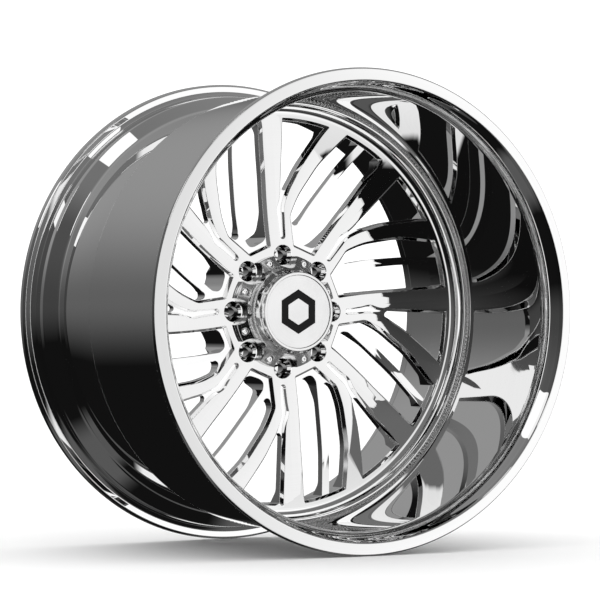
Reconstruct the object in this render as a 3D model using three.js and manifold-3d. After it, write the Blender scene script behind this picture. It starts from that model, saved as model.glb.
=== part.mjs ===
// Two-piece forged truck wheel, 26 x 16 inch, eight lugs on a 170 mm circle, deep outboard dish.
//
// Millimetres. The wheel stands upright with its axle along Y: the outboard face looks towards -Y and
// the hub pad towards +Y, +Z is up, and the origin is the middle of the wheel's box.
// Depths along the axle are written as distances behind the front edge of the lip and turned into Y
// by AXLE(). A round piece is a profile of [radius, depth] points turned about the axle.

import * as THREE from 'three';
import * as BufferGeometryUtils from 'three/addons/utils/BufferGeometryUtils.js';
import Module from 'manifold-3d';

// ---------------------------------------------------------------- driving dimensions (mm)

const WHEEL_WIDTH = 436;              // over both flanges
const FLANGE_R = 350;                 // outside radius of both flanges
const LIP_INNER_R = 332;              // inner edge of the front lip's face
const SEAT_R = 332.6;                 // bead seat of a 26 inch rim
const OUTER_DRUM_R = 323.5;           // outside of the long front drum
const DISH_R = 316;                   // inside of the dish
const WELL_R = 311;                   // outside of the drop well
const BRAKE_R = 304;                  // inside of the well, around the brake
const SHOULDER = 248.5;               // depth of the shoulder that the centre seats on

const FACE = 255.5;                   // depth of the spokes' front face
const POCKET = 6;                     // depth of the milled pockets
const BEVEL = 4;                      // sideways run of the pockets' sloping walls
const SPOKE_BACK = 274.5;             // depth of the spokes' rear face
const PAD = 320.5;                    // depth of the hub pad's rear face
const RING_R = 287;                   // inside of the centre's outer ring, at the pockets' floor
const BORE_R = 62.55;                 // hub bore

const LUGS = 8;
const LUG_CIRCLE_R = 85;              // 170 mm bolt circle
const LUG_POCKET_R = 14.75;
const LUG_HOLE_R = 8;
const LUG_SEAT = 296.5;               // depth where the 60 degree cone seat starts

const CAP_FACE = 207.5;               // depth of the cap's front rim
const CAP_R = 58.8;
const CAP_TAB_R = 85.5;
const CAP_FLANGE_FACE = 243.3;        // depth of the tabs' sloping face at the screws
const CAP_TAB_SLOPE = 0.47;           // rise of that face towards the cap, per mm of radius
const CAP_SCREW_CIRCLE_R = 77;
const SCALLOP_R = 20;                 // socket clearance in the cap around each lug

const VALVE_DEPTH = 345;              // depth of the valve's axis, in the drop well
const VALVE_ANGLE = 3.75;             // above +X, on the middle of a flat of the turned wall
const VALVE_HOLE_R = 5.75;

const GAP = 0.3;                      // between neighbouring pieces
const ROUND = 48;                     // sides of the large turned pieces

// ---------------------------------------------------------------- helpers

const wasm = await Module();
wasm.setup();

const AXLE = (depth) => depth - WHEEL_WIDTH / 2;
const turn = (degrees) => THREE.MathUtils.degToRad(degrees);

function weld(geometry) {
  const bare = geometry.clone();
  bare.deleteAttribute('normal');
  bare.deleteAttribute('uv');
  return BufferGeometryUtils.mergeVertices(bare, 1e-4);
}

function solid(geometry) {
  const welded = weld(geometry);
  const mesh = new wasm.Mesh({
    numProp: 3,
    vertProperties: new Float32Array(welded.attributes.position.array),
    triVerts: new Uint32Array(welded.index.array),
  });
  mesh.merge();
  return new wasm.Manifold(mesh);
}

function geometryOf(manifold) {
  const mesh = manifold.getMesh();
  const geometry = new THREE.BufferGeometry();
  geometry.setAttribute('position', new THREE.BufferAttribute(mesh.vertProperties, 3));
  geometry.setIndex(new THREE.BufferAttribute(mesh.triVerts, 1));
  return geometry;
}

// A closed [radius, depth] profile, listed clockwise with depth to the right and radius up.
function turned(profile, sides = ROUND) {
  const points = profile.map(([radius, depth]) => new THREE.Vector2(radius, AXLE(depth)));
  const closed = profile[0][0] === 0 ? points : [...points, points[0].clone()];
  const geometry = new THREE.LatheGeometry(closed, sides);
  return weld(geometry);
}

// An outline in the wheel's face plane, [x, z] points, made solid between two depths. With a bevel
// the front edge is wider by that much and slopes in over the slope's depth.
function plate(shape, front, back, bevel = 0, slope = 0) {
  const geometry = new THREE.ExtrudeGeometry(shape, {
    depth: back - front - 2 * slope,
    bevelEnabled: bevel > 0,
    bevelSize: bevel,
    bevelThickness: slope,
    bevelSegments: 1,
    curveSegments: 4,
  });
  geometry.rotateX(turn(90));
  geometry.translate(0, AXLE(back) - slope, 0);
  return geometry;
}

function outline(points) {
  return new THREE.Shape(points.map(([x, z]) => new THREE.Vector2(x, z)));
}

// Points of a smooth line through a few given ones.
function curve(points, steps) {
  const line = new THREE.SplineCurve(points.map(([x, z]) => new THREE.Vector2(x, z)));
  return line.getPoints(steps).map((p) => [p.x, p.y]);
}

function arc(cx, cz, radius, from, to, steps) {
  const points = [];
  for (let i = 0; i <= steps; i++) {
    const a = turn(from + ((to - from) * i) / steps);
    points.push([cx + radius * Math.cos(a), cz + radius * Math.sin(a)]);
  }
  return points;
}

const angleOf = ([x, z]) => THREE.MathUtils.radToDeg(Math.atan2(z, x));

function ringArc(radius, start, end, steps) {
  return arc(0, 0, radius, angleOf(start), angleOf(end), steps);
}

// A solid copied eight times about the axle and joined.
function aroundAxle(manifold, count = LUGS, first = 0) {
  const copies = [];
  for (let i = 0; i < count; i++) {
    copies.push(manifold.rotate([0, first + (360 * i) / count, 0]));
  }
  return wasm.Manifold.union(copies);
}

// A plain turned solid on an axis parallel to the axle, at a radius straight up from the centre.
function standingAt(profile, radius, sides) {
  return turned(profile, sides).translate(0, 0, radius);
}

// ---------------------------------------------------------------- materials

const POLISHED = new THREE.MeshStandardMaterial({ color: 0xdcdcdc, metalness: 1, roughness: 0.05 });
const POLISHED_WELD = new THREE.MeshStandardMaterial({ color: 0xc8c8c8, metalness: 1, roughness: 0.2 });
const CAP_CHROME = new THREE.MeshStandardMaterial({ color: 0xcfcfcf, metalness: 1, roughness: 0.06 });
const FACE_DISC = new THREE.MeshStandardMaterial({ color: 0xebebeb, metalness: 0.4, roughness: 0.4 });
const ENAMEL = new THREE.MeshStandardMaterial({ color: 0x141414, metalness: 0, roughness: 0.3 });
const STEEL = new THREE.MeshStandardMaterial({ color: 0xd0d0d0, metalness: 1, roughness: 0.15 });
const NICKEL = new THREE.MeshStandardMaterial({ color: 0xb9b6ad, metalness: 1, roughness: 0.25 });
const BRASS = new THREE.MeshStandardMaterial({ color: 0xc8a24a, metalness: 1, roughness: 0.3 });
const RUBBER = new THREE.MeshStandardMaterial({ color: 0x191919, metalness: 0, roughness: 0.8 });

const wheel = new THREE.Group();

function add(name, geometry, material, parent = wheel) {
  const mesh = new THREE.Mesh(geometry, material);
  mesh.name = name;
  parent.add(mesh);
  return mesh;
}

// ---------------------------------------------------------------- barrel

const REAR = WHEEL_WIDTH;

function barrelProfile() {
  const outside = [
    [LIP_INNER_R, 0.2],
    [LIP_INNER_R + 1.2, 0],
    [FLANGE_R - 2, 4.6],
    [FLANGE_R, 7.5],
    [FLANGE_R, 10.5],
    [FLANGE_R - 3, 14.8],
    [SEAT_R + 6, 14.8],
    [SEAT_R, 21],
    [SEAT_R - 1.7, 38],
    [SEAT_R - 0.6, 43],
    [SEAT_R - 3, 49],
    [OUTER_DRUM_R, 55],
    [OUTER_DRUM_R, 256.5],
    [WELL_R, 268],
    [WELL_R, 382.5],
    [SEAT_R - 3, 397],
    [SEAT_R - 1.7, 404],
    [SEAT_R, 416],
    [SEAT_R + 6, REAR - 14.8],
    [FLANGE_R - 3, REAR - 14.8],
    [FLANGE_R, REAR - 10.5],
    [FLANGE_R, REAR - 3],
    [FLANGE_R - 3, REAR],
    [FLANGE_R - 12, REAR],
  ];
  const inside = [
    [330, REAR - 3],
    [325, REAR - 10],
    [324, 404],
    [BRAKE_R, 377],
    [BRAKE_R, SHOULDER],
    [DISH_R, SHOULDER],
    [DISH_R, 36],
    [DISH_R + 0.3, 30],
    [DISH_R + 2, 22],
    [DISH_R + 6, 14],
    [DISH_R + 11.6, 6],
    [DISH_R + 14.6, 1.6],
  ];
  return [...outside, ...inside];
}

function makeBarrel() {
  const body = solid(turned(barrelProfile()));
  const drill = new THREE.CylinderGeometry(VALVE_HOLE_R, VALVE_HOLE_R, 40, 16);
  drill.rotateZ(turn(90));
  drill.translate(BRAKE_R, AXLE(VALVE_DEPTH), 0);
  drill.rotateY(turn(-VALVE_ANGLE));
  add('barrel', geometryOf(body.subtract(solid(drill))), POLISHED);
}

// ---------------------------------------------------------------- centre disc

// One eighth of the pattern is described between the lug at the top and the next lug clockwise, as
// seen from the front. Blades are cut away by two pockets: a slot that splits each main spoke, and a
// wide pocket between main spokes with a thin blade left standing at its floor.

function slotFloor() {
  const left = curve([[-6.2, 147], [-7, 154], [-2.5, 174], [-0.8, 205], [1.2, 250], [2.6, 284]], 6);
  const right = curve([[77, 274], [53, 247], [29, 216], [17, 196], [6.5, 176], [-0.6, 160], [-0.8, 146]], 8);
  const outer = ringArc(RING_R, [3.4, 286.9], [79.5, 275.7], 3);
  const end = arc(-1, 115.5, 2.4, 0, -180, 3);
  return outline([...left, ...outer, ...right, ...end]);
}

function slotMask() {
  const foot = arc(4.7, 186.5, 4.6, -20, -160, 3);
  return outline([[90, 300], [90, 240], [24, 200], ...foot, [-20, 215], [-20, 300]]);
}

function pocketFloor() {
  const left = curve([[19.5, 151], [30, 172], [47, 197], [66, 221], [90, 244.5], [110.5, 262.5]], 5);
  const outer = ringArc(RING_R, [114.3, 263.3], [173.6, 228.5], 3);
  const right = curve([[172.5, 223.5], [150, 204], [116, 166], [86, 131.5], [60, 99.5]], 4);
  const hub = [[54.6, 92.2], [51.8, 91.8], [25, 101.5], [23.5, 103.6], [18.5, 139]];
  return outline([...left, ...outer, ...right.slice(1), ...hub]);
}

function narrowWindowMask() {
  const bladeSide = curve([[34, 139], [50.6, 161.6], [83.1, 199.8], [103.2, 222], [134, 252.5]], 5);
  const foot = arc(24, 135.5, 6, -175, -10, 4);
  return outline([...foot, ...bladeSide, [150, 275], [100, 300], [0, 230], [10, 150]]);
}

function wideWindowMask() {
  const bladeSide = curve([[149, 250], [111.7, 213.5], [91.2, 191.6], [59, 153], [34, 121.6]], 5);
  const foot = [[30.3, 114], [30.3, 107], [33, 102.5], [39, 99], [52, 96], [60, 97.5], [65, 100.5]];
  return outline([...bladeSide, ...foot, [200, 220], [175, 250], [160, 260]]);
}

function discProfile() {
  return [
    [BORE_R + 1, FACE],
    [RING_R + 9, FACE],
    [RING_R + 14, FACE - 2],
    [RING_R + 19, FACE - 6],
    [RING_R + 22.5, FACE - 11],
    [DISH_R - 5, 238.5],
    [DISH_R - GAP, 236.5],
    [DISH_R - GAP, SHOULDER - GAP],
    [BRAKE_R - GAP, SHOULDER - GAP],
    [BRAKE_R - GAP, 292.5],
    [RING_R + 3, 292.5],
    [RING_R - 2, 288],
    [RING_R - 12, 279],
    [RING_R - 27, SPOKE_BACK],
    [165, SPOKE_BACK],
    [146, 278.5],
    [130, 286.5],
    [120, 299],
    [113, 316.5],
    [108.5, PAD],
    [BORE_R + 1.5, PAD],
    [BORE_R, PAD - 1.5],
    [BORE_R, FACE + 1],
  ];
}

function lugCutter() {
  const throughEnd = PAD + 5;
  const cone = (LUG_POCKET_R - LUG_HOLE_R) / Math.tan(turn(30));
  return standingAt([
    [0, FACE - 5],
    [LUG_POCKET_R, FACE - 5],
    [LUG_POCKET_R, LUG_SEAT],
    [LUG_HOLE_R, LUG_SEAT + cone],
    [LUG_HOLE_R, throughEnd],
    [0, throughEnd],
  ], LUG_CIRCLE_R, 16);
}

function tappedHoleCutter() {
  return standingAt([[0, FACE - 5], [2.9, FACE - 5], [2.9, FACE + 16], [0, FACE + 16]],
    CAP_SCREW_CIRCLE_R, 8);
}

function makeCentreDisc() {
  const above = 10;
  const below = RING_R + 40;
  const slope = POCKET;
  const floorCut = (shape) => solid(plate(shape, FACE - slope - above, FACE + POCKET, BEVEL, slope));
  const throughCut = (shape) => solid(plate(shape, FACE + POCKET - 2, below));
  const slot = floorCut(slotFloor()).add(throughCut(slotFloor()).intersect(throughCut(slotMask())));
  const pocketHole = throughCut(pocketFloor());
  const pocket = floorCut(pocketFloor())
    .add(pocketHole.intersect(throughCut(narrowWindowMask())))
    .add(pocketHole.intersect(throughCut(wideWindowMask())));
  const cuts = [
    aroundAxle(slot.add(pocket)),
    aroundAxle(solid(lugCutter())),
    aroundAxle(solid(tappedHoleCutter()), LUGS, 360 / LUGS / 2),
  ];
  const disc = solid(turned(discProfile())).subtract(wasm.Manifold.union(cuts));
  add('centre_disc', geometryOf(disc), POLISHED);
}

function makeSeamWelds() {
  const front = [[DISH_R - 4.5, 236], [DISH_R - 1.8, 233.2], [DISH_R - GAP, 230], [DISH_R - GAP, 236]];
  const rear = [[BRAKE_R - 6, 292.8], [BRAKE_R - GAP, 292.8], [BRAKE_R - GAP, 299], [BRAKE_R - 2.5, 297]];
  add('seam_weld_front', turned(front), POLISHED_WELD);
  add('seam_weld_rear', turned(rear), POLISHED_WELD);
}

// ---------------------------------------------------------------- centre cap

const DISC_R = 54.3;                  // face disc
const DISC_FRONT = CAP_FACE + 1.4;
const DISC_BACK = DISC_FRONT + 2;
const SEAL_DEPTH = 262.5;             // middle of the O-ring's groove
const SEAL_SECTION_R = 1.6;

function capProfile() {
  const recessR = DISC_R + GAP;
  const web = DISC_BACK + GAP;
  const tabFace = (radius) => CAP_FLANGE_FACE + (radius - CAP_SCREW_CIRCLE_R) * CAP_TAB_SLOPE;
  return [
    [0, web],
    [recessR, web],
    [recessR, CAP_FACE + 0.5],
    [recessR + 0.5, CAP_FACE],
    [CAP_R - 1.2, CAP_FACE],
    [CAP_R, CAP_FACE + 1.2],
    [CAP_R, 218],
    [63.5, 228.5],
    [68.4, 235],
    [69.5, tabFace(69.5)],
    [CAP_TAB_R - 1, tabFace(CAP_TAB_R - 1)],
    [CAP_TAB_R, tabFace(CAP_TAB_R) + 1],
    [CAP_TAB_R, FACE - GAP],
    [BORE_R - 1.2, FACE - GAP],
    [BORE_R - 1.2, SEAL_DEPTH - 2],
    [58.6, SEAL_DEPTH - 2],
    [58.6, SEAL_DEPTH + 2],
    [BORE_R - 1.2, SEAL_DEPTH + 2],
    [BORE_R - 1.2, 267.5],
    [BORE_R - 2.2, 269],
    [54, 269],
    [54, 236],
    [51, 224],
    [51, web + 3.5],
    [0, web + 3.5],
  ];
}

function makeCap() {
  const scallop = standingAt([[0, 200], [SCALLOP_R, 200], [SCALLOP_R, 275], [0, 275]], LUG_CIRCLE_R, 16);
  const screwHole = standingAt([
    [0, 230],
    [5.6, 230],
    [5.6, CAP_FLANGE_FACE + 3.2],
    [2.9, CAP_FLANGE_FACE + 3.2],
    [2.9, 275],
    [0, 275],
  ], CAP_SCREW_CIRCLE_R, 10);
  const body = solid(turned(capProfile()))
    .subtract(aroundAxle(solid(scallop)))
    .subtract(aroundAxle(solid(screwHole), LUGS, 360 / LUGS / 2));
  add('cap_body', geometryOf(body), CAP_CHROME);
  add('cap_face_disc', geometryOf(makeFaceDisc()), FACE_DISC);
  add('cap_emblem', plate(emblemShape(0), DISC_FRONT - 0.2, DISC_FRONT + 0.6), ENAMEL);
  add('cap_o_ring', makeSealRing(), RUBBER);
}

const EMBLEM_OUTER_R = 33;
const EMBLEM_INNER_R = 20;

function hexagon(radius) {
  return arc(0, 0, radius, 30, 330, 5);
}

function emblemShape(extra) {
  const shape = outline(hexagon(EMBLEM_OUTER_R + extra));
  shape.holes.push(new THREE.Path(outline(hexagon(EMBLEM_INNER_R - extra)).getPoints()));
  return shape;
}

function makeFaceDisc() {
  const disc = solid(turned([
    [0, DISC_FRONT],
    [DISC_R - 0.4, DISC_FRONT],
    [DISC_R, DISC_FRONT + 0.4],
    [DISC_R, DISC_BACK],
    [0, DISC_BACK],
  ]));
  return disc.subtract(solid(plate(emblemShape(GAP), DISC_FRONT - 3, DISC_FRONT + 0.9)));
}

function makeSealRing() {
  const centre = 58.6 + GAP + SEAL_SECTION_R;
  const section = arc(centre, SEAL_DEPTH, SEAL_SECTION_R, 0, 300, 5);
  return turned(section);
}

function screwGeometry() {
  const headFront = CAP_FLANGE_FACE - 0.4;
  const headBack = CAP_FLANGE_FACE + 2.9;
  const screw = solid(standingAt([
    [0, headFront],
    [3.9, headFront],
    [4.9, headFront + 1.3],
    [4.9, headBack],
    [2.5, headBack],
    [2.5, FACE + 13],
    [0, FACE + 13],
  ], CAP_SCREW_CIRCLE_R, 10));
  const socket = solid(standingAt([[0, headFront - 1], [2.3, headFront - 1], [2.3, headFront + 2.2],
    [0, headFront + 2.2]], CAP_SCREW_CIRCLE_R, 6));
  return geometryOf(screw.subtract(socket));
}

function makeCapScrews() {
  const geometry = screwGeometry();
  for (let i = 0; i < LUGS; i++) {
    const screw = add(`cap_screw_${i + 1}`, geometry, STEEL);
    screw.rotation.y = turn((360 / LUGS) * (i + 0.5));
  }
}

// ---------------------------------------------------------------- tyre valve

// Profiles here are [radius, distance] about the valve's own axis. The distance counts from the inside
// of the well towards the wheel's centre, so the tyre side of the wall is negative.

const WALL = BRAKE_R * Math.cos(turn(180 / ROUND));
const WALL_THICKNESS = WELL_R - BRAKE_R;
const STEM_R = 4.2;

function valveTurned(profile, sides = 16) {
  const points = profile.map(([radius, distance]) => new THREE.Vector2(radius, distance));
  const closed = profile[0][0] === 0 ? points : [...points, points[0].clone()];
  return weld(new THREE.LatheGeometry(closed, sides));
}

function stemProfile() {
  const base = -WALL_THICKNESS - 5.4;
  return [
    [1.7, base],
    [8.2, base],
    [8.5, base + 0.4],
    [8.5, base + 2.6],
    [STEM_R, base + 2.6],
    [STEM_R, 26],
    [3.85, 26.6],
    [3.85, 35.4],
    [3.2, 36],
    [2.7, 36],
    [2.7, 24],
    [1.7, 22.5],
  ];
}

function makeNut() {
  const body = new THREE.CylinderGeometry(8.1, 8.1, 5.4, 6);
  body.translate(0, 7.9, 0);
  const bore = new THREE.CylinderGeometry(STEM_R + GAP, STEM_R + GAP, 20, 20);
  bore.translate(0, 8, 0);
  const crown = valveTurned([[0, 3], [10, 3], [10, 9.2], [7, 10.7], [0, 10.7]], 24);
  return geometryOf(solid(body).intersect(solid(crown)).subtract(solid(bore)));
}

function springGeometry() {
  const coils = 4;
  const radius = 1.15;
  const start = 13.5;
  const length = 8.2;
  const points = [];
  for (let i = 0; i <= coils * 8; i++) {
    const a = (i / 8) * 2 * Math.PI;
    points.push(new THREE.Vector3(radius * Math.cos(a), start + (length * i) / (coils * 8),
      radius * Math.sin(a)));
  }
  return new THREE.ExtrudeGeometry(outline(arc(0, 0, 0.22, 0, 270, 3)), {
    steps: coils * 8,
    extrudePath: new THREE.CatmullRomCurve3(points),
    bevelEnabled: false,
  });
}

function makeValve() {
  const place = new THREE.Group();
  place.rotation.y = turn(-VALVE_ANGLE);
  wheel.add(place);
  const valve = new THREE.Group();
  valve.position.set(WALL, AXLE(VALVE_DEPTH), 0);
  valve.rotation.z = turn(90);
  place.add(valve);

  const sleeve = STEM_R + GAP;
  add('valve_stem', valveTurned(stemProfile()), NICKEL, valve);
  add('valve_grommet_outer', valveTurned([
    [sleeve, -WALL_THICKNESS - 2.5],
    [8.1, -WALL_THICKNESS - 2.5],
    [8.1, -WALL_THICKNESS - GAP],
    [VALVE_HOLE_R - 0.5, -WALL_THICKNESS - GAP],
    [VALVE_HOLE_R - 0.5, 0.1],
    [sleeve, 0.1],
  ]), RUBBER, valve);
  add('valve_grommet_inner', valveTurned([[sleeve, 0.9], [8, 0.9], [8, 3.2], [sleeve, 3.2]]),
    RUBBER, valve);
  add('valve_washer', valveTurned([[sleeve, 3.5], [8.6, 3.5], [8.6, 4.9], [sleeve, 4.9]]),
    STEEL, valve);
  add('valve_nut', makeNut(), NICKEL, valve);
  add('valve_core_body', valveTurned([[0.95, 25], [2.35, 25], [2.35, 34.6], [0.95, 34.6]], 12),
    BRASS, valve);
  add('valve_core_pin', valveTurned([[0, 22.2], [1.4, 22.2], [1.4, 24.6], [0.6, 24.6], [0.6, 35.8],
    [0, 35.8]], 10), BRASS, valve);
  add('valve_core_spring', springGeometry(), STEEL, valve);
  add('valve_cap', valveTurned([
    [0, 38.2],
    [STEM_R + 0.05, 38.2],
    [STEM_R + 0.05, 26.9],
    [5.1, 26.9],
    [5.3, 27.3],
    [5.3, 39.4],
    [4.6, 40.2],
    [0, 40.2],
  ]), NICKEL, valve);
  add('valve_cap_seal', valveTurned([[0, 36.4], [3.7, 36.4], [3.7, 37.9], [0, 37.9]], 16),
    RUBBER, valve);
}

// ---------------------------------------------------------------- assembly

makeBarrel();
makeCentreDisc();
makeSeamWelds();
makeCap();
makeCapScrews();
makeValve();

export default wheel;
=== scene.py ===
"""Studio view of a polished forged truck wheel, 26 by 16 inch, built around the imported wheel.

Sizes are millimetres until they reach a mesh, where MM turns them into metres. The axle runs along
Y and the outboard face looks towards -Y. A place along the axle is a depth behind the front edge of
the lip, and a round piece is a profile of (radius, depth) turned about the axle.
"""

from math import atan2, ceil, cos, hypot, pi, radians, sin, tan

import bmesh
import bpy
from mathutils import Matrix, Vector


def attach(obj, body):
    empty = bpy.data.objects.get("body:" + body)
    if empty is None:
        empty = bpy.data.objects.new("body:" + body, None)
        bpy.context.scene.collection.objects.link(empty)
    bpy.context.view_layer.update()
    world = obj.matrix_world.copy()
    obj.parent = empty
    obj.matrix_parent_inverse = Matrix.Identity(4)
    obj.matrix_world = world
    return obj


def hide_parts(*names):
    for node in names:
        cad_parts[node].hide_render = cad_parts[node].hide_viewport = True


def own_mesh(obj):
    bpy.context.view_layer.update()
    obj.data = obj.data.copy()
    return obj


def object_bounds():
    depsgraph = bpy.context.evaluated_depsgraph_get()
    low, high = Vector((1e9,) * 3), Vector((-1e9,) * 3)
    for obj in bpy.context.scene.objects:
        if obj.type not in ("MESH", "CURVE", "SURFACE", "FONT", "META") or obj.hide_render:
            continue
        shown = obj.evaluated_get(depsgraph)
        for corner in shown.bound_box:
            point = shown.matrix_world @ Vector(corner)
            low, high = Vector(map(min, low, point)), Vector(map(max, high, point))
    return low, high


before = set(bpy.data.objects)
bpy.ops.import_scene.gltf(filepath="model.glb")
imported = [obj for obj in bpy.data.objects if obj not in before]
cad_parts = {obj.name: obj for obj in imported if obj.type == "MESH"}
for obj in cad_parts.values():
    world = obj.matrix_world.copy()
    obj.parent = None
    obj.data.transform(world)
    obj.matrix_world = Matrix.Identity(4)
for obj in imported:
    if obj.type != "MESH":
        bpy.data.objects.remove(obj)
cad_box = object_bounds()

MM = 0.001
FRONT = cad_box[0][1]                 # the lip's front edge along the axle, in metres
FLOOR = cad_box[0][2]

# ---------------------------------------------------------------- sizes of the wheel, in mm

WIDTH = 436                           # over both flanges
LIP_FACE = 4.6                        # depth that the lip's front face falls back to
DISH_R = 316
BRAKE_R = 304
SHOULDER = 248.5
FACE = 255.5
POCKET = 6
SPOKE_BACK = 274.5
PAD = 320.5
RING_FACE_R = 291
BORE_R = 62.55

LUGS = 8
LUG_CIRCLE_R = 85
LUG_POCKET_R = 14.75
LUG_HOLE_R = 8
LUG_SEAT = 296.5

CAP_FACE = 207.5
CAP_R = 58.8
CAP_NECK_R = 60.2
CAP_TAB_R = 85.5
CAP_TAB_SLOPE = 0.47                  # fall of the tabs' face per mm of radius
CAP_FLANGE = 243.3                    # depth of that face at the screws
SCREW_CIRCLE_R = 77
SCALLOP_R = 20
FACE_DISC_R = 54.3

VALVE_DEPTH = 345
VALVE_ANGLE = 3.75                    # degrees above +X
VALVE_HOLE_R = 5.75
WALL_THICKNESS = 7                    # of the drop well, which the valve stands in

GAP = 0.3
STEP = radians(11)                    # longest turn between two facets that still reads as round
SHARP = radians(14)


def depth_to_y(depth):
    return FRONT + depth * MM


# ---------------------------------------------------------------- lines and outlines


def arc(cx, cy, radius, start, end):
    """Points of an arc, from one angle to another in degrees."""
    steps = max(2, ceil(abs(radians(end - start)) / STEP))
    angles = [radians(start + (end - start) * i / steps) for i in range(steps + 1)]
    return [(cx + radius * cos(a), cy + radius * sin(a)) for a in angles]


def smooth_line(points, steps=6):
    """A smooth line through a few chosen points, of any number of values each."""
    ends = [points[0], *points, points[-1]]
    line = []
    for i in range(1, len(ends) - 2):
        p0, p1, p2, p3 = (Vector(p) for p in ends[i - 1 : i + 3])
        for k in range(steps):
            t = k / steps
            line.append(
                tuple(
                    0.5
                    * (
                        2 * p1
                        + (p2 - p0) * t
                        + (2 * p0 - 5 * p1 + 4 * p2 - p3) * t * t
                        + (3 * p1 - p0 - 3 * p2 + p3) * t**3
                    )
                )
            )
    return [*line, tuple(points[-1])]


def filleted(corners):
    """A closed outline with rounded corners, from (x, y, fillet radius).

    A corner of two values stays a sharp point.
    """
    line = []
    for i, corner in enumerate(corners):
        here = Vector(corner[:2])
        fillet = corner[2] if len(corner) > 2 else 0
        before = Vector(corners[i - 1][:2]) - here
        after = Vector(corners[(i + 1) % len(corners)][:2]) - here
        if not fillet:
            line.append(tuple(here))
            continue
        half = before.angle(after) / 2
        reach = min(fillet / tan(half), before.length * 0.49, after.length * 0.49)
        fillet = reach * tan(half)
        centre = here + (before.normalized() + after.normalized()).normalized() * (
            fillet / sin(half)
        )
        first = here + before.normalized() * reach - centre
        last = here + after.normalized() * reach - centre
        sweep = pi - 2 * half
        steps = max(1, ceil(sweep / STEP))
        for k in range(steps + 1):
            a = sweep * k / steps
            spoke = (first * sin(sweep - a) + last * sin(a)) / sin(sweep)
            line.append(tuple(centre + spoke))
    return line


# ---------------------------------------------------------------- making meshes


def face_outwards(bm):
    bmesh.ops.recalc_face_normals(bm, faces=bm.faces)
    if bm.calc_volume(signed=True) < 0:
        bmesh.ops.reverse_faces(bm, faces=bm.faces)


def finished(bm, name, material, body="wheel", smooth=True):
    """Turns a bmesh into a named piece that rides on a body."""
    mesh = bpy.data.meshes.new(name)
    bm.to_mesh(mesh)
    bm.free()
    piece = bpy.data.objects.new(name, mesh)
    bpy.context.scene.collection.objects.link(piece)
    if smooth:
        mesh.shade_smooth()
        mesh.set_sharp_from_angle(angle=SHARP)
    if material is not None:
        mesh.materials.append(material)
        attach(piece, body)
    return piece


def turned(profile, steps=64, centre=(0, 0), start_y=FRONT):
    """A bmesh of a closed (radius, depth) profile turned about an axis parallel to the axle."""
    bm = bmesh.new()
    x, z = centre
    verts = [bm.verts.new((r * MM, start_y + d * MM, 0)) for r, d in profile]
    edges = [bm.edges.new((a, b)) for a, b in zip(verts, verts[1:] + verts[:1])]
    bmesh.ops.spin(
        bm,
        geom=verts + edges,
        cent=(0, 0, 0),
        axis=(0, 1, 0),
        angle=2 * pi,
        steps=steps,
        use_merge=True,
    )
    bmesh.ops.remove_doubles(bm, verts=bm.verts, dist=1e-7)
    flat = [f for f in bm.faces if f.calc_area() < 1e-14]
    bmesh.ops.delete(bm, geom=flat, context="FACES_ONLY")
    bare = [e for e in bm.edges if not e.link_faces]
    bmesh.ops.delete(bm, geom=bare, context="EDGES")
    bmesh.ops.translate(bm, verts=bm.verts, vec=(x * MM, 0, z * MM))
    face_outwards(bm)
    return bm


def lofted(levels):
    """A bmesh that passes through the same outline at several depths, given as (depth, outline)."""
    bm = bmesh.new()
    order = bm.verts.layers.int.new("order")
    depth, outline = levels[0]
    verts = []
    for i, (x, z) in enumerate(outline):
        vert = bm.verts.new((x * MM, depth_to_y(depth), z * MM))
        vert[order] = i
        verts.append(vert)
    face = bm.faces.new(verts)
    for number, (depth, outline) in enumerate(levels[1:]):
        made = bmesh.ops.extrude_face_region(bm, geom=[face])
        if number:
            bmesh.ops.delete(bm, geom=[face], context="FACES_ONLY")
        face = next(g for g in made["geom"] if isinstance(g, bmesh.types.BMFace))
        for vert in face.verts:
            x, z = outline[vert[order]]
            vert.co = (x * MM, depth_to_y(depth), z * MM)
    face_outwards(bm)
    return bm


def mesh_object(bm, name):
    return finished(bm, name, None, smooth=False)


def combine(piece, other, operation):
    """Cuts, joins or crosses a piece with another, which is then gone."""
    modifier = piece.modifiers.new(operation, "BOOLEAN")
    modifier.operation = operation
    modifier.object = other
    modifier.solver = "MANIFOLD"
    bpy.context.view_layer.update()
    evaluated = piece.evaluated_get(bpy.context.evaluated_depsgraph_get())
    mesh = bpy.data.meshes.new_from_object(evaluated)
    piece.modifiers.clear()
    old = piece.data
    name = old.name
    piece.data = mesh
    bpy.data.meshes.remove(old)
    mesh.name = name
    bpy.data.objects.remove(other)
    return piece


def around_axle(pieces, name, first=0):
    """Eight copies of some pieces about the axle, joined into one object. The pieces are then gone."""
    bm = bmesh.new()
    for piece in pieces:
        for i in range(LUGS):
            copy = piece.data.copy()
            copy.transform(Matrix.Rotation(radians(first + 360 * i / LUGS), 4, "Y"))
            bm.from_mesh(copy)
            bpy.data.meshes.remove(copy)
        bpy.data.objects.remove(piece)
    return mesh_object(bm, name)


def finish_cut(piece, material, body="wheel"):
    """Gives a cut piece its shading and its material."""
    piece.data.shade_smooth()
    piece.data.set_sharp_from_angle(angle=SHARP)
    piece.data.materials.clear()
    piece.data.materials.append(material)
    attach(piece, body)
    return piece


# ---------------------------------------------------------------- materials


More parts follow.
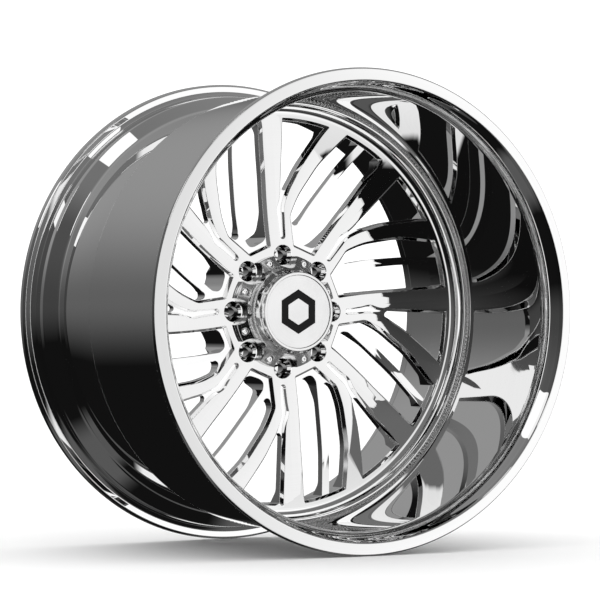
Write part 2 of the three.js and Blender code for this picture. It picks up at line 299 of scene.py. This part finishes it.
class NodeMaths:
    """Short calls for the arithmetic of a node tree. A value is a number or a node's output."""

    def __init__(self, tree):
        self.tree = tree

    def node(self, kind, *inputs, output=0, **settings):
        made = self.tree.nodes.new(kind)
        for key, value in settings.items():
            setattr(made, key, value)
        for socket, value in zip(made.inputs, inputs):
            if isinstance(value, bpy.types.NodeSocket):
                self.tree.links.new(value, socket)
            elif value is not None:
                socket.default_value = value
        return made.outputs[output]

    def do(self, operation, *inputs):
        return self.node("ShaderNodeMath", *inputs, operation=operation)

    def mix(self, share, first, second):
        return self.do("MULTIPLY_ADD", share, self.do("SUBTRACT", second, first), first)

    def ramp(self, value, start, end, low=0.0, high=1.0):
        """Low before start, high after end, and a smooth rise between them."""
        return self.node(
            "ShaderNodeMapRange", value, start, end, low, high, interpolation_type="SMOOTHSTEP"
        )


def new_material(name, **values):
    material = bpy.data.materials.new(name)
    material.use_nodes = True
    shader = material.node_tree.nodes["Principled BSDF"]
    for key, value in values.items():
        shader.inputs[key.replace("_", " ")].default_value = value
    return material


LINES_PER_M = 1400                    # fineness of the turning lines
BUFFING_CLOUDS = 14                   # buffing marks per metre
BEAD_SCALES = 320                     # scales of a weld bead per radian round the wheel


def metal(name, colour, low, high, lines=0.03, ripple=0.0, turned_front=False):
    """Bright metal: cloudy buffing marks in its gloss and fine turning lines round the axle.

    Low and high are the limits of its roughness. A ripple, in metres, raises the overlapping
    scales of a weld bead, and a turned front makes the wheel's front faces a little greyer.
    """
    material = new_material(name, Metallic=1)
    maths = NodeMaths(material.node_tree)
    shader = material.node_tree.nodes["Principled BSDF"]
    place = maths.node("ShaderNodeTexCoord", output="Object")
    x, y, z = (maths.node("ShaderNodeSeparateXYZ", place, output=i) for i in range(3))
    radius = maths.do("SQRT", maths.do("ADD", maths.do("POWER", x, 2), maths.do("POWER", z, 2)))
    section = maths.node("ShaderNodeCombineXYZ", radius, y, 0)
    turning = maths.node("ShaderNodeTexNoise", section, None, LINES_PER_M, 3, 0.6)
    shade = maths.ramp(turning, 0.35, 0.65, 1 - lines, 1)
    if turned_front:
        shade = maths.do("MULTIPLY", shade, front_faces(maths, y))
    tint = maths.node("ShaderNodeVectorMath", colour, None, None, shade, operation="SCALE")
    clouds = maths.node("ShaderNodeTexNoise", place, None, BUFFING_CLOUDS, 5, 0.5)
    gloss = maths.ramp(clouds, 0.3, 0.7, low, high)
    links = material.node_tree.links
    links.new(tint, shader.inputs["Base Color"])
    links.new(gloss, shader.inputs["Roughness"])
    if ripple:
        round_wheel = maths.do("MULTIPLY", maths.do("ARCTAN2", x, z), BEAD_SCALES)
        scales = maths.do("SINE", maths.do("ADD", round_wheel, maths.do("MULTIPLY", clouds, 6)))
        height = maths.do("MULTIPLY", scales, ripple)
        bump = maths.node("ShaderNodeBump", 0.6, 1, None, height)
        links.new(bump, shader.inputs["Normal"])
    return material


def front_faces(maths, y):
    """Shade of the forging by depth: lower on the lip's face and on the spokes' face."""
    lip = maths.do("LESS_THAN", y, depth_to_y(LIP_FACE))
    spokes = maths.do(
        "MULTIPLY",
        maths.do("GREATER_THAN", y, depth_to_y(FACE - 0.5)),
        maths.do("LESS_THAN", y, depth_to_y(FACE + 0.08)),
    )
    return maths.mix(maths.do("MAXIMUM", lip, spokes), 1.0, 0.87)


def moulded(name, colour, roughness, grain, relief):
    """Paint or rubber with a fine grain in its gloss, and relief of so many mm in its surface."""
    material = new_material(name, Base_Color=(*colour, 1), Specular_IOR_Level=0.15)
    maths = NodeMaths(material.node_tree)
    shader = material.node_tree.nodes["Principled BSDF"]
    place = maths.node("ShaderNodeTexCoord", output="Object")
    speckle = maths.node("ShaderNodeTexNoise", place, None, grain, 4, 0.6)
    gloss = maths.ramp(speckle, 0.3, 0.7, roughness * 0.8, roughness * 1.2)
    bump = maths.node("ShaderNodeBump", 0.3, relief * MM, None, speckle)
    material.node_tree.links.new(gloss, shader.inputs["Roughness"])
    material.node_tree.links.new(bump, shader.inputs["Normal"])
    return material


FORGING = metal("polished_forging", (0.93, 0.93, 0.93), 0.0, 0.02, 0.015, turned_front=True)
WELD = metal("polished_weld", (0.85, 0.85, 0.85), 0.1, 0.25, ripple=0.3 * MM)
CAP_CHROME = metal("cap_chrome", (0.8, 0.8, 0.8), 0.1, 0.14, 0.02)
FACE_LACQUER = metal("face_lacquer", (0.86, 0.86, 0.86), 0.3, 0.4, 0.03)
ENAMEL = moulded("black_enamel", (0.003, 0.003, 0.003), 0.22, 900, 0.02)
STEEL = metal("screw_steel", (0.9, 0.9, 0.9), 0.02, 0.06, 0.03)
NICKEL = metal("valve_nickel", (0.7, 0.69, 0.66), 0.15, 0.3, 0.06)
BRASS = metal("core_brass", (0.78, 0.6, 0.26), 0.2, 0.35, 0.06)
RUBBER = moulded("seal_rubber", (0.01, 0.01, 0.01), 0.7, 2500, 0.1)

# ---------------------------------------------------------------- barrel


def barrel_profile():
    dish_lip = smooth_line(
        [(316, 36), (316.3, 30), (318, 22), (322, 14), (327.6, 6), (330.6, 1.6), (332, 0.2)], 5
    )
    outside = filleted(
        [
            (332.1, 0.15),
            (333.2, 0, 0.8),
            (348.2, LIP_FACE, 1.5),
            (350, 7.5, 2),
            (350, 10.5, 2),
            (347, 14.8, 2.5),
            (338.6, 14.8, 3),
            (332.6, 21, 5),
            (330.9, 38, 3),
            (332, 43, 2.5),
            (329.6, 49, 3),
            (323.5, 55, 4),
            (323.5, 256.5, 5),
            (311, 268, 5),
            (311, 382.5, 8),
            (329.6, 397, 4),
            (330.9, 404, 4),
            (332.6, 416, 4),
            (338.6, WIDTH - 14.8, 3),
            (347, WIDTH - 14.8, 2.5),
            (350, WIDTH - 10.5, 2),
            (350, WIDTH - 3, 2),
            (347, WIDTH, 2),
            (338, WIDTH, 4),
            (330, WIDTH - 3, 4),
            (325, WIDTH - 10, 5),
            (324, 404, 6),
            (304, 377, 10),
            (304, SHOULDER, 0.4),
            (316, SHOULDER),
            (316, 36.5),
        ]
    )
    return [*outside, *dish_lip]


def valve_place(radius):
    """Turns an axis along Y into the valve's axis, pointing from the well at the wheel's middle."""
    round_axle = Matrix.Rotation(radians(-VALVE_ANGLE), 4, "Y")
    place = Matrix.Translation((radius * MM, depth_to_y(VALVE_DEPTH), 0))
    return round_axle @ place @ Matrix.Rotation(pi / 2, 4, "Z")


def make_barrel():
    piece = mesh_object(turned(barrel_profile(), steps=288), "rolled_barrel")
    hole = filleted([(0, -20), (VALVE_HOLE_R, -20), (VALVE_HOLE_R, 20), (0, 20)])
    drill = mesh_object(turned(hole, steps=40, start_y=0), "valve_drill")
    drill.data.transform(valve_place(BRAKE_R + WALL_THICKNESS / 2))
    finish_cut(combine(piece, drill, "DIFFERENCE"), FORGING)
    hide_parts("barrel")


# ---------------------------------------------------------------- forged centre

# One eighth of the pattern lies between the lug at the top and the next lug clockwise, seen from the
# front. An edge point is (x, z, width of the sloping wall below it).

def wall_levels():
    """A wall's section, rolled over at its top and bottom edges.

    Each level is its share of the pocket's depth and its share of the wall's width.
    """
    roll = [(0.09 * (1 - cos(radians(a))), 0.13 * sin(radians(a))) for a in range(11, 56, 11)]
    foot = [(1 - drop, 1 - share) for drop, share in reversed(roll)]
    return [(0, 0), *roll, *foot, (1, 1)]


WALL_LEVELS = wall_levels()


def ring_line(radius, start, end, width):
    first = atan2(start[1], start[0])
    last = atan2(end[1], end[0])
    steps = max(2, ceil(abs(last - first) / radians(2)))
    angles = [first + (last - first) * i / steps for i in range(steps + 1)]
    return [(radius * cos(a), radius * sin(a), width) for a in angles]


def with_width(points, width):
    return [(x, z, width) for x, z in points]


def slot_edge():
    left = smooth_line(
        [(-5, 115, 2.6), (-8, 137, 2.6), (-10.7, 153, 3), (-6.2, 172, 4), (-5, 200, 4.3),
         (-3, 250, 4.3), (-1.6, 289, 4.3)], 10
    )
    right = smooth_line(
        [(81.2, 278, 4.3), (70, 266, 4.3), (57, 250, 4.3), (33, 218, 4.3), (21, 198, 4.3),
         (11, 180, 4.3), (2.8, 158, 3), (3, 140, 2.6), (4.5, 115, 2.6)], 10
    )
    ring = ring_line(RING_FACE_R, (-0.5, 291), (79.5, 279.9), 4)
    end = with_width(arc(-0.25, 113.5, 4.75, 0, -180)[1:-1], 2.6)
    return [*left, *ring, *right, *end]


def pocket_edge():
    left = smooth_line(
        [(12.2, 141, 4.3), (14.1, 150, 4.3), (26, 175, 4.4), (43.5, 200, 4.4), (63, 225, 4.4),
         (88, 248, 4.4), (111, 267.6, 4.4)], 10
    )
    right = smooth_line(
        [(176, 228.6, 4.3), (170, 220, 4.3), (156, 204.4, 4.3), (140, 186, 4.3), (120, 162.5, 4.3),
         (100, 140, 4.3), (81, 117.5, 4.3), (65.7, 98.3, 4.3), (58.4, 88.6, 4.3)], 10
    )
    ring = ring_line(RING_FACE_R, (112.6, 268.3), (176.4, 231.4), 4)
    hub = with_width(filleted([(58.4, 88.6), (54.3, 82.9, 4), (18.2, 97.3, 4), (12.6, 136)]), 4.3)
    return [*left, *ring, *right, *hub[1:-1]]


def inset(edge, share):
    """The edge line moved inwards by a share of its wall's width at each point."""
    line = []
    for i, (x, z, width) in enumerate(edge):
        here = Vector((x, z))
        to_here = (here - Vector(edge[i - 1][:2])).normalized()
        from_here = (Vector(edge[(i + 1) % len(edge)][:2]) - here).normalized()
        along = (to_here + from_here).normalized()
        stretch = 1 / max(0.6, along.dot(to_here))
        inwards = Vector((along.y, -along.x)) * stretch
        line.append(tuple(here + inwards * width * share))
    return line


def slope_cutter(edge, name):
    """Cuts from above the face down to the pocket's floor, along the sloping wall."""
    drop, share = WALL_LEVELS[1]
    levels = [(FACE - POCKET * drop, inset(edge, -share))]
    for drop, share in WALL_LEVELS[1:]:
        levels.append((FACE + POCKET * drop, inset(edge, share)))
    return mesh_object(lofted(levels), name)


def window_cutter(edge, mask, name):
    """Cuts right through, inside both the pocket's floor and an opening's own outline."""
    top = FACE + POCKET * 0.6
    floor = inset(edge, 1)
    hole = mesh_object(lofted([(top, floor), (PAD + 20, floor)]), name)
    opening = mesh_object(lofted([(top - 1, mask), (PAD + 21, mask)]), name + "_mask")
    return combine(hole, opening, "INTERSECT")


def split_window_mask():
    foot = arc(4.7, 186.5, 4.6, -20, -160)
    return [(90, 300), (90, 240), (24, 200), *foot, (-20, 215), (-20, 300)]


def narrow_window_mask():
    blade = smooth_line([(33, 137.7), (50.6, 161.6), (83.1, 199.8), (103.2, 222), (134, 252.5)])
    foot = arc(24, 135.5, 6, -175, -10)
    return [*foot, *blade, (150, 275), (100, 300), (0, 230), (10, 150)]


def wide_window_mask():
    blade = smooth_line([(149, 250), (111.7, 213.5), (91.2, 191.6), (59, 153), (34, 121.6)])
    foot = smooth_line([(31, 117), (30, 111), (31, 105.5), (36, 101), (44, 98), (53, 95.8), (60, 97.4)])
    return [*blade, *foot, (70, 104), (200, 220), (175, 250), (160, 260)]


def centre_profile():
    return filleted(
        [
            (BORE_R, FACE, 0.8),
            (296.5, FACE, 8),
            (304, 252, 8),
            (309.8, 245, 3),
            (310.6, 238.5, 1),
            (DISH_R - GAP, 236.5, 0.5),
            (DISH_R - GAP, SHOULDER - GAP),
            (BRAKE_R - GAP, SHOULDER - GAP),
            (BRAKE_R - GAP, 292.5, 1),
            (291, 292.5, 8),
            (270, SPOKE_BACK, 14),
            (150, SPOKE_BACK, 30),
            (122, 290, 25),
            (112, PAD, 2),
            (BORE_R, PAD, 1.5),
        ]
    )


def lug_cutter():
    cone = (LUG_POCKET_R - LUG_HOLE_R) / tan(radians(30))
    profile = [
        (0, FACE - 3),
        (LUG_POCKET_R + 3.8, FACE - 3),
        (LUG_POCKET_R, FACE + 0.8),
        (LUG_POCKET_R, LUG_SEAT),
        (LUG_HOLE_R, LUG_SEAT + cone),
        (LUG_HOLE_R, PAD + 5),
        (0, PAD + 5),
    ]
    return mesh_object(turned(profile, 48, (0, LUG_CIRCLE_R)), "lug_cutter")


def tapped_hole_cutter():
    profile = [(0, FACE - 3), (2.9, FACE - 3), (2.9, FACE + 16), (0, FACE + 16)]
    return mesh_object(turned(profile, 24, (0, SCREW_CIRCLE_R)), "tapped_hole_cutter")


def make_centre():
    slot_line = slot_edge()
    pocket_line = pocket_edge()
    slot_cut = slope_cutter(slot_line, "slot_cut")
    combine(slot_cut, window_cutter(slot_line, split_window_mask(), "split_window"), "UNION")
    pocket_cut = slope_cutter(pocket_line, "pocket_cut")
    for mask, name in ((narrow_window_mask(), "narrow_window"), (wide_window_mask(), "wide_window")):
        combine(pocket_cut, window_cutter(pocket_line, mask, name), "UNION")
    cuts = around_axle([slot_cut, pocket_cut, lug_cutter()], "spoke_cuts")
    holes = around_axle([tapped_hole_cutter()], "tapped_holes", 180 / LUGS)
    piece = mesh_object(turned(centre_profile(), steps=288), "forged_centre")
    combine(piece, cuts, "DIFFERENCE")
    combine(piece, holes, "DIFFERENCE")
    finish_cut(piece, FORGING)
    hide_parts("centre_disc")


# ---------------------------------------------------------------- seam welds


def make_welds():
    front = filleted(
        [(DISH_R - 4.4, 236.1, 0.6), (DISH_R - 3, 234, 2), (DISH_R - GAP, 230.2, 0.3),
         (DISH_R - GAP, 236.1)]
    )
    rear = filleted(
        [(BRAKE_R - 6, 292.8), (BRAKE_R - GAP, 292.8), (BRAKE_R - GAP, 298.8, 0.3),
         (BRAKE_R - 3.2, 296.4, 2.5)]
    )
    for name, profile in (("front", front), ("rear", rear)):
        piece = finished(turned(profile, steps=288), f"weld_bead_{name}", WELD)
        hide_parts(f"seam_weld_{name}")


# ---------------------------------------------------------------- centre cap

DISC_FRONT = CAP_FACE + 1.4
DISC_BACK = DISC_FRONT + 2
SEAL_DEPTH = 262.5
SEAL_SECTION_R = 1.6
SEAL_GROOVE_R = 58.6
SPIGOT_R = BORE_R - 1.2
EMBLEM_OUTER_R = 33
EMBLEM_INNER_R = 20


def tab_face(radius):
    """Depth of the sloping face of the cap's tabs."""
    return CAP_FLANGE + (radius - SCREW_CIRCLE_R) * CAP_TAB_SLOPE


def cap_profile():
    recess_r = FACE_DISC_R + GAP
    web = DISC_BACK + GAP
    flare = smooth_line([(CAP_NECK_R, 216.5), (61, 221.5), (63.6, 228.5), (67, 234.2), (68.6, 237)], 5)
    crown = filleted(
        [(0, web), (recess_r, web, 0.4), (recess_r, CAP_FACE, 0.5), (CAP_R, CAP_FACE, 1.4),
         (CAP_NECK_R, 216.4)]
    )
    flange = filleted(
        [
            (68.8, 237.6),
            (69.3, tab_face(69.3), 0.8),
            (CAP_TAB_R, tab_face(CAP_TAB_R), 1.2),
            (CAP_TAB_R, FACE - GAP, 0.3),
            (SPIGOT_R, FACE - GAP),
            (SPIGOT_R, SEAL_DEPTH - 2),
            (SEAL_GROOVE_R, SEAL_DEPTH - 2),
            (SEAL_GROOVE_R, SEAL_DEPTH + 2),
            (SPIGOT_R, SEAL_DEPTH + 2),
            (SPIGOT_R, 269, 1.2),
            (54, 269, 0.5),
            (54, 236, 3),
            (51, 224, 3),
            (51, web + 3.5, 2),
            (0, web + 3.5),
        ]
    )
    return [*crown, *flare, *flange]


def hexagon_ring(extra, front, back, chamfer=0.0):
    """A bmesh of the emblem's six-sided ring, wider all round by extra."""
    bm = bmesh.new()
    for radius in (EMBLEM_OUTER_R + extra, EMBLEM_INNER_R - extra):
        bmesh.ops.create_circle(bm, segments=6, radius=radius * MM)
    bmesh.ops.bridge_loops(bm, edges=bm.edges)
    made = bmesh.ops.extrude_face_region(bm, geom=bm.faces[:])
    lifted = [g for g in made["geom"] if isinstance(g, bmesh.types.BMVert)]
    bmesh.ops.translate(bm, verts=lifted, vec=(0, 0, (back - front) * MM))
    bmesh.ops.rotate(bm, verts=bm.verts, matrix=Matrix.Rotation(-pi / 2, 3, "X"))
    bmesh.ops.translate(bm, verts=bm.verts, vec=(0, depth_to_y(front), 0))
    if chamfer:
        front_y = depth_to_y(front)
        rim = [
            e
            for e in bm.edges
            if all(abs(v.co.y - front_y) < 1e-6 for v in e.verts) and e.calc_face_angle(0) > 0.5
        ]
        bmesh.ops.bevel(
            bm, geom=rim, offset=chamfer * MM, segments=3, profile=0.5, affect="EDGES", material=-1
        )
    face_outwards(bm)
    return bm


def make_cap():
    body = mesh_object(turned(cap_profile(), steps=192), "cap_body_turned")
    scallop = filleted([(0, 200), (SCALLOP_R, 200), (SCALLOP_R, 275), (0, 275)])
    scallops = [mesh_object(turned(scallop, 96, (0, LUG_CIRCLE_R)), "scallop")]
    combine(body, around_axle(scallops, "scallops"), "DIFFERENCE")
    screw_hole = [
        (0, 230),
        (5.6, 230),
        (5.6, CAP_FLANGE + 3.2),
        (2.9, CAP_FLANGE + 3.2),
        (2.9, 275),
        (0, 275),
    ]
    holes = [mesh_object(turned(screw_hole, 40, (0, SCREW_CIRCLE_R)), "screw_hole")]
    combine(body, around_axle(holes, "screw_holes", 180 / LUGS), "DIFFERENCE")
    finish_cut(body, CAP_CHROME)
    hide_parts("cap_body")

    disc_profile = filleted(
        [(0, DISC_FRONT), (FACE_DISC_R, DISC_FRONT, 0.5), (FACE_DISC_R, DISC_BACK), (0, DISC_BACK)]
    )
    disc = mesh_object(turned(disc_profile, steps=160), "cap_disc")
    recess = mesh_object(hexagon_ring(GAP, DISC_FRONT - 3, DISC_FRONT + 0.9), "emblem_recess")
    finish_cut(combine(disc, recess, "DIFFERENCE"), FACE_LACQUER)
    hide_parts("cap_face_disc")

    emblem = hexagon_ring(0, DISC_FRONT - 0.2, DISC_FRONT + 0.6, chamfer=0.18)
    emblem = finished(emblem, "hexagon_emblem", ENAMEL)
    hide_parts("cap_emblem")

    section = arc(SEAL_GROOVE_R + GAP + SEAL_SECTION_R, SEAL_DEPTH, SEAL_SECTION_R, 0, 350)
    seal = finished(turned(section, steps=160), "spigot_seal", RUBBER)
    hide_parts("cap_o_ring")


def make_cap_screws():
    front = CAP_FLANGE - 0.4
    profile = filleted(
        [
            (0, front),
            (3.7, front, 0.4),
            (4.9, front + 1.3, 0.6),
            (4.9, CAP_FLANGE + 2.9, 0.2),
            (2.5, CAP_FLANGE + 2.9, 0.1),
            (2.5, FACE + 13, 0.5),
            (0, FACE + 13),
        ]
    )
    socket = [(0, front - 1), (2.3, front - 1), (2.3, front + 2.2), (0, front + 2.8)]
    for i in range(LUGS):
        name = f"button_screw_{i + 1}"
        piece = mesh_object(turned(profile, 40, (0, SCREW_CIRCLE_R)), name)
        driver = mesh_object(turned(socket, 6, (0, SCREW_CIRCLE_R)), "socket")
        combine(piece, driver, "DIFFERENCE")
        piece.data.transform(Matrix.Rotation(radians(360 / LUGS * (i + 0.5)), 4, "Y"))
        finish_cut(piece, STEEL)
        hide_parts(f"cap_screw_{i + 1}")


# ---------------------------------------------------------------- tyre valve

# Profiles here are (radius, distance) about the valve's own axis, and the distance counts from the
# inside of the well towards the middle of the wheel.

VALVE_WALL_R = BRAKE_R * cos(pi / 48)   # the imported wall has 48 flats, and the valve is on one
STEM_R = 4.2


def at_valve(bm):
    """Stands a shape made about the origin on the wall of the well."""
    bmesh.ops.transform(bm, matrix=valve_place(VALVE_WALL_R), verts=bm.verts)
    return bm


def valve_turned(profile, steps=48):
    return turned(profile, steps, start_y=0)


def thread(radius, start, end, pitch=0.8, depth=0.35):
    """The profile of a screw thread, drawn as a row of ridges."""
    line = []
    for i in range(int((end - start) / pitch)):
        ridge = start + pitch * i
        line += [(radius - depth, ridge + pitch * 0.1), (radius, ridge + pitch * 0.5)]
    return line


def knurl(bm, radius, ridges, depth):
    """Presses fine lengthwise grooves into the outside of a turned shape about the valve's axis."""
    for vert in bm.verts:
        if hypot(vert.co.x, vert.co.z) > radius * MM:
            share = 0.5 + 0.5 * cos(ridges * atan2(vert.co.z, vert.co.x))
            scale = 1 - depth * share / radius
            vert.co.x *= scale
            vert.co.z *= scale


def valve_part(bm, name, material, node, body="wheel"):
    piece = finished(at_valve(bm), name, material, body)
    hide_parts(node)


def make_valve():
    base = -WALL_THICKNESS - 5.4
    sleeve = STEM_R + GAP
    stem = [
        (1.7, base), (8.2, base), (8.5, base + 0.4), (8.5, base + 2.6), (STEM_R, base + 2.6),
        (STEM_R, 2), *thread(STEM_R, 2.4, 14), (STEM_R - 0.3, 14.4), (STEM_R - 0.3, 24),
        (STEM_R, 25), (STEM_R, 26), (3.85, 26.6), *thread(3.85, 26.8, 35), (3.2, 36), (2.7, 36),
        (2.7, 24), (1.7, 22.5),
    ]
    valve_part(valve_turned(stem), "threaded_stem", NICKEL, "valve_stem")
    outer_grommet = filleted(
        [(sleeve, -9.5), (8.1, -9.5, 0.6), (8.1, -7.95, 0.3), (5.25, -7.95), (5.25, -0.6),
         (sleeve, -0.6)]
    )
    valve_part(
        valve_turned(outer_grommet), "outer_grommet", RUBBER, "valve_grommet_outer"
    )
    inner_grommet = filleted([(sleeve, -0.2), (8, -0.2, 0.4), (8, 3.2, 0.8), (sleeve, 3.2)])
    valve_part(
        valve_turned(inner_grommet), "inner_grommet", RUBBER, "valve_grommet_inner"
    )
    washer = filleted([(sleeve, 3.5), (8.6, 3.5, 0.25), (8.6, 4.9, 0.4), (sleeve, 4.9, 0.2)])
    valve_part(valve_turned(washer), "flat_washer", STEEL, "valve_washer")

    nut = mesh_object(valve_turned([(0, 5.2), (8.1, 5.2), (8.1, 10.6), (0, 10.6)], 6), "hex_nut")
    crown = filleted([(0, 3), (7.3, 5, 0.4), (8.6, 6, 0.4), (8.6, 9.6, 0.4), (7, 10.7, 0.3), (0, 10.7)])
    combine(nut, mesh_object(valve_turned(crown, 96), "nut_crown"), "INTERSECT")
    bore = [(0, 0), (sleeve, 0), (sleeve, 20), (0, 20)]
    combine(nut, mesh_object(valve_turned(bore, 48), "nut_bore"), "DIFFERENCE")
    bm = bmesh.new()
    bm.from_mesh(nut.data)
    bpy.data.objects.remove(nut)
    valve_part(bm, "hex_nut", NICKEL, "valve_nut")

    core = filleted([(0.95, 25), (2.35, 25, 0.3), (2.35, 34.6, 0.4), (0.95, 34.6, 0.2)])
    valve_part(valve_turned(core), "core_sleeve", BRASS, "valve_core_body")
    pin = filleted(
        [(0, 22.2), (1.4, 22.2, 0.2), (1.4, 24.6, 0.2), (0.6, 24.6), (0.6, 35.8, 0.3), (0, 35.8)]
    )
    valve_part(
        valve_turned(pin), "core_pin", BRASS, "valve_core_pin", "valve_core_pin"
    )
    inner_r = STEM_R + 0.05
    cap = filleted(
        [(0, 38.2), (inner_r, 38.2), (inner_r, 26.9), (5, 26.9, 0.1), (5.3, 27.3, 0.2),
         (5.3, 40.2, 0.9), (0, 40.2)]
    )
    cap_mesh = valve_turned(cap, 144)
    bmesh.ops.bisect_plane(
        cap_mesh, geom=cap_mesh.verts[:] + cap_mesh.edges[:] + cap_mesh.faces[:],
        plane_co=(0, 28.2 * MM, 0), plane_no=(0, 1, 0),
    )
    knurl(cap_mesh, 5.2, 36, 0.25)
    valve_part(cap_mesh, "knurled_cap", NICKEL, "valve_cap", "valve_cap")
    seal = filleted([(0, 36.4), (3.7, 36.4, 0.2), (3.7, 37.9, 0.2), (0, 37.9)])
    valve_part(
        valve_turned(seal), "cap_seal", RUBBER, "valve_cap_seal", "valve_cap"
    )
    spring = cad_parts["valve_core_spring"]
    spring.material_slots[0].material = STEEL
    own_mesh(spring)


# ---------------------------------------------------------------- studio light


def towards(azimuth, elevation):
    """A direction: azimuth 0 is the outboard side, and it grows towards +X."""
    a, e = radians(azimuth), radians(elevation)
    return Vector((cos(e) * sin(a), -cos(e) * cos(a), sin(e)))


def softbox(maths, direction, azimuth, elevation, width, height, roundness, tilt=0.0):
    """1 inside a panel of light far away, 0 outside, and its sideways coordinate.

    Width and height are half its sides at a distance of 1. Roundness 2 is an ellipse, 8 a rectangle.
    """
    ahead = towards(azimuth, elevation)
    right = ahead.cross(Vector((0, 0, 1))).normalized()
    right = Matrix.Rotation(radians(tilt), 3, ahead) @ right
    up = right.cross(ahead)

    def along(axis):
        return maths.node(
            "ShaderNodeVectorMath", direction, axis, operation="DOT_PRODUCT", output=1
        )

    near = maths.do("MAXIMUM", along(ahead), 0.02)
    across = maths.do("DIVIDE", along(right), near)
    sideways = maths.do("ABSOLUTE", maths.do("DIVIDE", across, width))
    upwards = maths.do("ABSOLUTE", maths.do("DIVIDE", maths.do("DIVIDE", along(up), near), height))
    sum_of_powers = maths.do(
        "ADD", maths.do("POWER", sideways, roundness), maths.do("POWER", upwards, roundness)
    )
    inside = maths.ramp(sum_of_powers, 1.12, 0.88)
    return maths.do("MULTIPLY", inside, maths.ramp(along(ahead), 0.02, 0.05)), across


def studio_room(maths, direction):
    """Brightness of the room by direction: a grey wall, a dark floor and panels of light.

    The key light is the wide ellipse in front of the face, brighter towards +X. The panels are
    (azimuth, elevation, half width, half height, tilt).
    """
    x, y, z = (
        maths.node("ShaderNodeSeparateXYZ", direction, output=i) for i in range(3)
    )
    low = maths.ramp(z, -0.25, 0.05, 0.0, 0.12)
    high = maths.do("MULTIPLY", maths.ramp(z, 0.05, 0.45, 0.0, 0.18), maths.ramp(y, -0.5, 0.4, 0.3, 1))
    left = maths.do("MULTIPLY", maths.ramp(x, -0.2, -0.6), maths.ramp(z, 0.75, 0.5))
    left = maths.do("MULTIPLY", left, maths.ramp(y, 0.6, 0.2))
    wall = maths.do("MULTIPLY", maths.do("ADD", low, high), maths.mix(left, 1.0, 0.45))
    apron = maths.do("MULTIPLY", maths.ramp(z, -0.94, -0.88, 0.0, 0.1), maths.ramp(z, -0.6, -0.75))
    room = maths.do("MAXIMUM", wall, maths.do("MAXIMUM", apron, 0.006))
    key, across = softbox(maths, direction, 31, 0, 0.97, 0.8, 2)
    key = maths.do("MULTIPLY", key, maths.ramp(across, 0.75, -0.6, 0.93, 1.22))
    room = maths.do("MAXIMUM", room, key)
    for azimuth, elevation, width, height, tilt in (
        (-28, 24, 0.14, 0.08, -45),
        (-38, 30, 0.14, 0.07, -50),
        (-78, 41, 0.13, 0.17, 0),
        (-33, 62, 0.13, 0.13, -40),
    ):
        panel, across = softbox(maths, direction, azimuth, elevation, width, height, 6, tilt)
        room = maths.do("MAXIMUM", room, maths.do("MULTIPLY", panel, 1.1))
    return room


BACKDROP = 1.3                        # brightness that the floor and the camera see


def light_studio():
    world = bpy.data.worlds.new("studio")
    world.use_nodes = True
    bpy.context.scene.world = world
    maths = NodeMaths(world.node_tree)
    background = world.node_tree.nodes["Background"]
    direction = maths.node("ShaderNodeTexCoord")
    room = studio_room(maths, direction)
    reflected = maths.node("ShaderNodeLightPath", output="Is Glossy Ray")
    shown = maths.mix(reflected, BACKDROP, room)
    world.node_tree.links.new(shown, background.inputs["Color"])
    bpy.context.scene.view_settings.view_transform = "Standard"


# ---------------------------------------------------------------- camera and floor


def place_camera():
    data = bpy.data.cameras.new("camera")
    data.lens = 195.87
    data.sensor_width = 36
    camera = bpy.data.objects.new("camera", data)
    camera.location = (-2.429, -4.2071, -0.0016)
    forward = Vector((0.5012, 0.8653, 0.0039))
    camera.rotation_euler = forward.to_track_quat("-Z", "Y").to_euler()
    bpy.context.scene.collection.objects.link(camera)
    bpy.context.scene.camera = camera


def make_floor():
    bm = bmesh.new()
    bmesh.ops.create_grid(bm, x_segments=1, y_segments=1, size=30)
    bmesh.ops.translate(bm, verts=bm.verts, vec=(0, 0, FLOOR - 0.0004))
    mesh = bpy.data.meshes.new("floor")
    bm.to_mesh(mesh)
    bm.free()
    floor = bpy.data.objects.new("floor", mesh)
    bpy.context.scene.collection.objects.link(floor)
    mesh.materials.append(new_material("floor_paper", Base_Color=(0.95, 0.95, 0.95, 1), Roughness=0.9))
    floor.visible_glossy = False


# ---------------------------------------------------------------- assembly

place_camera()
make_floor()
light_studio()
make_barrel()
make_centre()
make_welds()
make_cap()
make_cap_screws()
make_valve()
